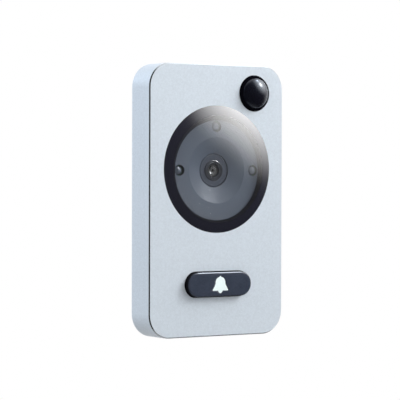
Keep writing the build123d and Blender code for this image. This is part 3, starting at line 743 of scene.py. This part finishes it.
# pan head with a cross in it, and a shank with a turned thread
def screwTree():
    tree, given = newTree("panScrew", ("Shank Radius", "Shank Length", "Head Radius", "Head Height"))
    headRadius, headHeight = given["Head Radius"], given["Head Height"]
    shankRadius, shankLength = given["Shank Radius"], given["Shank Length"]
    part = screwShares
    head = rodMesh(tree, *screwSteps["head"])
    x, y, z = pointParts(tree)
    share = calc(tree, "SUBTRACT", 0.5, z)
    draw = calc(tree, "SQRT", calc(tree, "MULTIPLY_ADD", times(tree, share, share), -part["crown"], 1.0))
    draw = times(tree, draw, headRadius)
    fall = times(tree, times(tree, share, headHeight), -1.0)
    head = movePoints(tree, head, times(tree, x, draw), times(tree, y, draw), fall)
    slotLength = times(tree, headRadius, part["slotLength"])
    slotWidth = times(tree, headRadius, part["slotWidth"])
    deep = times(tree, headHeight, part["slotDepth"])
    drop = addNode(tree, "ShaderNodeCombineXYZ", {2: times(tree, headHeight, -1.0)}).outputs[0]
    cut = addNode(tree, "GeometryNodeMeshBoolean", {"Mesh 1": head},
                  operation="DIFFERENCE", solver="EXACT")
    for long, wide in ((slotLength, slotWidth), (slotWidth, slotLength)):
        size = addNode(tree, "ShaderNodeCombineXYZ", {0: long, 1: wide, 2: deep}).outputs[0]
        slot = addNode(tree, "GeometryNodeMeshCube", {"Size": size}).outputs[0]
        slot = addNode(tree, "GeometryNodeTransform", {"Geometry": slot, "Translation": drop}).outputs[0]
        tree.links.new(slot, cut.inputs["Mesh 2"])
    core = rodMesh(tree, *screwSteps["core"])
    x, y, z = pointParts(tree)
    along = calc(tree, "ADD", z, 0.5)
    taper = times(tree, spread(tree, along, part["tipFrom"], 1.0, part["core"], part["tip"]), shankRadius)
    core = movePoints(tree, core, times(tree, x, taper), times(tree, y, taper),
                      times(tree, along, shankLength))
    pitch = times(tree, shankRadius, part["pitch"])
    coil = addNode(tree, "GeometryNodeCurveSpiral", {
        "Resolution": screwSteps["coil"],
        "Rotations": calc(tree, "DIVIDE", shankLength, pitch),
        "Start Radius": times(tree, shankRadius, part["core"]),
        "End Radius": times(tree, shankRadius, part["threadEnd"]),
        "Height": times(tree, shankLength, part["threadLength"]),
    }).outputs[0]
    ridge = addNode(tree, "GeometryNodeCurvePrimitiveCircle", {
        "Resolution": screwSteps["ridge"],
        "Radius": times(tree, shankRadius, part["ridge"]),
    }).outputs[0]
    inputs = {"Curve": coil, "Profile Curve": ridge, "Fill Caps": True}
    thread = addNode(tree, "GeometryNodeCurveToMesh", inputs).outputs[0]
    return endTree(tree, given, joinAll(tree, cut.outputs[0], core, thread), part["seed"])


def makeScrews():
    tree = screwTree()
    for node, sizes in screwSizes.items():
        boxes = bodiesOf(node)
        headHeight = sizes["Head Height"]
        seats = [((low.x + high.x) / 2, high.y - headHeight * mm, (low.z + high.z) / 2)
                 for low, high in boxes]
        low, high = boxes[0]
        lengths = {**sizes, "Shank Length": (high.y - low.y) / mm - headHeight}
        mesh = growMesh(sizes["piece"], seats, tree, lengths, finishes["steel"])
        addPiece(sizes["piece"], mesh, "steel", "unit", node)


makeScrews()
print("screws made")

lampSizes = {"Radius": 2.0, "Height": 4.15, "Rise": 1.6, "Flange": 2.55, "Flange Height": 0.8}
lampShares = {"narrowest": 0.02, "least": 1e-6, "flangeFill": -0.75, "flangeFlat": 0.25, "seed": 3}
lampSteps = {"around": 48, "ball": 32, "flange": 16}


def ballMesh(tree, rings):
    inputs = {"Segments": lampSteps["around"], "Rings": rings, "Radius": 1.0}
    return addNode(tree, "GeometryNodeMeshUVSphere", inputs).outputs[0]


# clear bodies: a ball above, drawn down to a straight side, on a rounded flange
def lampTree():
    tree, given = newTree("lampBody", ("Radius", "Height", "Rise", "Flange", "Flange Height"))
    ball = ballMesh(tree, lampSteps["ball"])
    x, y, z = pointParts(tree)
    shoulder = calc(tree, "SUBTRACT", given["Height"], given["Rise"])
    wide = calc(tree, "SQRT", calc(tree, "SUBTRACT", 1.0, times(tree, z, z)))
    below = calc(tree, "LESS_THAN", z, 0.0)
    fill = calc(tree, "DIVIDE", 1.0, calc(tree, "MAXIMUM", wide, lampShares["narrowest"]))
    push = addNode(tree, "ShaderNodeMix", {0: below, 2: 1.0, 3: fill}).outputs[0]
    push = times(tree, push, given["Radius"])
    rise = addNode(tree, "ShaderNodeMix", {0: below, 2: given["Rise"], 3: shoulder}).outputs[0]
    lift = calc(tree, "MULTIPLY_ADD", z, rise, shoulder)
    ball = movePoints(tree, ball, times(tree, x, push), times(tree, y, push), lift)
    disc = ballMesh(tree, lampSteps["flange"])
    x, y, z = pointParts(tree)
    wide = calc(tree, "MAXIMUM", calc(tree, "SUBTRACT", 1.0, times(tree, z, z)), lampShares["least"])
    wide = calc(tree, "SQRT", wide)
    push = times(tree, calc(tree, "POWER", wide, lampShares["flangeFill"]), given["Flange"])
    half = times(tree, given["Flange Height"], 0.5)
    thick = calc(tree, "POWER", calc(tree, "ABSOLUTE", z), lampShares["flangeFlat"])
    thick = times(tree, calc(tree, "SIGN", z), thick)
    disc = movePoints(tree, disc, times(tree, x, push), times(tree, y, push),
                      calc(tree, "MULTIPLY_ADD", thick, half, half))
    return endTree(tree, given, joinAll(tree, ball, disc), lampShares["seed"])


def makeLamps():
    boxes = bodiesOf("infrared_lamps")
    feet = [((low.x + high.x) / 2, high.y, (low.z + high.z) / 2) for low, high in boxes]
    mesh = growMesh("infraredLamps", feet, lampTree(), lampSizes, finishes["lamp_clear"])
    addPiece("infraredLamps", mesh, "lamp_clear", "unit", "infrared_lamps")


makeLamps()
print("lamps made")


# stage

floorSizes = {
    "radius": 1.15, "corners": 96, "height": -1.0, "fadeFrom": 0.35, "fadeTo": 1.1,
    "pale": 0.3, "roughness": 0.9, "glow": 0.6,
}


# pale floor that thins out to the white behind; it takes the object's shadow
def makeFloor():
    sizes = floorSizes
    made = bmesh.new()
    bmesh.ops.create_circle(made, cap_ends=True, segments=sizes["corners"], radius=sizes["radius"])
    mesh = bpy.data.meshes.new("floor")
    made.to_mesh(mesh)
    made.free()
    mesh.transform(Matrix.Translation((0, 0, sizes["height"])))
    floor = bpy.data.objects.new("floor", mesh)
    scene.collection.objects.link(floor)
    material, tree, shader = newMaterial("paleFloor")
    place = addNode(tree, "ShaderNodeTexCoord").outputs["Object"]
    reach = vectorCalc(tree, "LENGTH", vectorCalc(tree, "MULTIPLY", place, (1, 1, 0)))
    thin = spread(tree, reach, sizes["fadeFrom"], sizes["fadeTo"])
    path = addNode(tree, "ShaderNodeLightPath").outputs
    pale = sizes["pale"]
    setSockets(shader, Base_Color=(pale, pale, pale, 1), Roughness=sizes["roughness"],
               Emission_Color=(1, 1, 1, 1))
    wire(tree, shader, Emission_Strength=times(tree, path["Is Camera Ray"], sizes["glow"]))
    clear = addNode(tree, "ShaderNodeBsdfTransparent").outputs[0]
    mixed = addNode(tree, "ShaderNodeMixShader", {0: thin, 1: shader.outputs[0], 2: clear}).outputs[0]
    wire(tree, tree.nodes["Material Output"], Surface=mixed)
    mesh.materials.append(material)


worldSizes = {
    "diffuse": {"lean": (0.4, 0.75, -0.5), "low": -0.9, "high": 0.5, "front": 0.79, "back": 0.385},
    "mirrored": {"lean": (0.45, 0.8, 0.6), "low": -0.1, "high": 0.5, "front": 0.03, "back": 1.0},
}


# white to the eye, and white behind the object in glass and metal; even light from the front
def makeWorld():
    world = bpy.data.worlds.new("studio")
    world.use_nodes = True
    scene.world = world
    tree = world.node_tree
    tree.nodes.clear()
    way = addNode(tree, "ShaderNodeTexCoord").outputs["Generated"]
    levels = []
    for kind in ("diffuse", "mirrored"):
        sizes = worldSizes[kind]
        lean = vectorCalc(tree, "DOT_PRODUCT", way, sizes["lean"])
        levels.append(spread(tree, lean, *(sizes[name] for name in ("low", "high", "front", "back"))))
    path = addNode(tree, "ShaderNodeLightPath").outputs
    mirrored = calc(tree, "MAXIMUM", path["Is Glossy Ray"], path["Is Transmission Ray"])
    level = addNode(tree, "ShaderNodeMix", {0: mirrored, 2: levels[0], 3: levels[1]}).outputs[0]
    strength = calc(tree, "MAXIMUM", level, path["Is Camera Ray"])
    glow = addNode(tree, "ShaderNodeBackground", {"Color": (1, 1, 1, 1), "Strength": strength})
    addNode(tree, "ShaderNodeOutputWorld", {"Surface": glow.outputs[0]})


def wayTo(azimuth, elevation):
    turn, climb = math.radians(azimuth), math.radians(elevation)
    return Vector((math.sin(turn) * math.cos(climb), -math.cos(turn) * math.cos(climb), math.sin(climb)))


softboxes = {
    "key": {"azimuth": 60.4, "elevation": 33.8, "distance": 2.6, "radius": 2.1, "radiance": 3.6,
            "colour": (1, 1, 1), "soft": 0.15, "heart": 6.5},
    "side": {"azimuth": -112, "elevation": 33, "distance": 0.65, "radius": 0.28, "radiance": 4.3,
             "colour": (0.8, 0.95, 1.15), "soft": 0.3},
    "top": {"azimuth": 64, "elevation": 52, "distance": 1.2, "radius": 0.13, "radiance": 18.0,
            "colour": (0.85, 0.95, 1.1), "soft": 0.4},
}
rimReach, heartReach = 0.5, 0.14  # in widths of the lamp


# round softbox whose light falls off to its rim, and may be stronger in its heart
def makeSoftbox(name, azimuth, elevation, distance, radius, radiance, colour, soft, heart=0.0):
    way = wayTo(azimuth, elevation)
    data = bpy.data.lights.new(name, "AREA")
    data.shape = "DISK"
    data.size = 2 * radius
    data.energy = radiance * math.pi**2 * radius**2
    data.color = colour
    data.use_nodes = True
    tree = data.node_tree
    spot = addNode(tree, "ShaderNodeNewGeometry").outputs["Parametric"]
    off = vectorCalc(tree, "SUBTRACT", spot, (0.5, 0.5, 0))
    reach = vectorCalc(tree, "LENGTH", vectorCalc(tree, "MULTIPLY", off, (1, 1, 0)))
    fall = spread(tree, reach, rimReach * soft, rimReach, 1.0, 0.0)
    fall = calc(tree, "ADD", fall, spread(tree, reach, 0.0, heartReach, heart, 0.0))
    wire(tree, tree.nodes["Emission"], Strength=fall)
    lamp = bpy.data.objects.new(name, data)
    lamp.location = way * distance
    lamp.rotation_mode = "QUATERNION"
    lamp.rotation_quaternion = way.to_track_quat("Z", "Y")
    scene.collection.objects.link(lamp)


view = {
    "azimuth": -33.86, "elevation": 0.814, "roll": 0.164,
    "lens": 176.5, "sensor": 36, "near": 0.05, "far": 20,
    "distance": 0.83305, "target": (-0.004112, -0.007, 0.000106),
}


def makeCamera():
    turn, roll = math.radians(view["azimuth"]), math.radians(view["roll"])
    back = wayTo(view["azimuth"], view["elevation"])
    level = Vector((math.cos(turn), math.sin(turn), 0))
    upright = back.cross(level)
    right = level * math.cos(roll) + upright * math.sin(roll)
    up = upright * math.cos(roll) - level * math.sin(roll)
    data = bpy.data.cameras.new("camera")
    data.lens = view["lens"]
    data.sensor_width = view["sensor"]
    data.clip_start, data.clip_end = view["near"], view["far"]
    camera = bpy.data.objects.new("camera", data)
    place = Matrix((right, up, back)).transposed().to_4x4()
    place.translation = Vector(view["target"]) + back * view["distance"]
    camera.matrix_world = place
    scene.collection.objects.link(camera)
    scene.camera = camera


makeFloor()
makeWorld()
for boxName, settings in softboxes.items():
    makeSoftbox(boxName, **settings)
makeCamera()
scene.view_settings.view_transform = "Standard"
print("stage set")
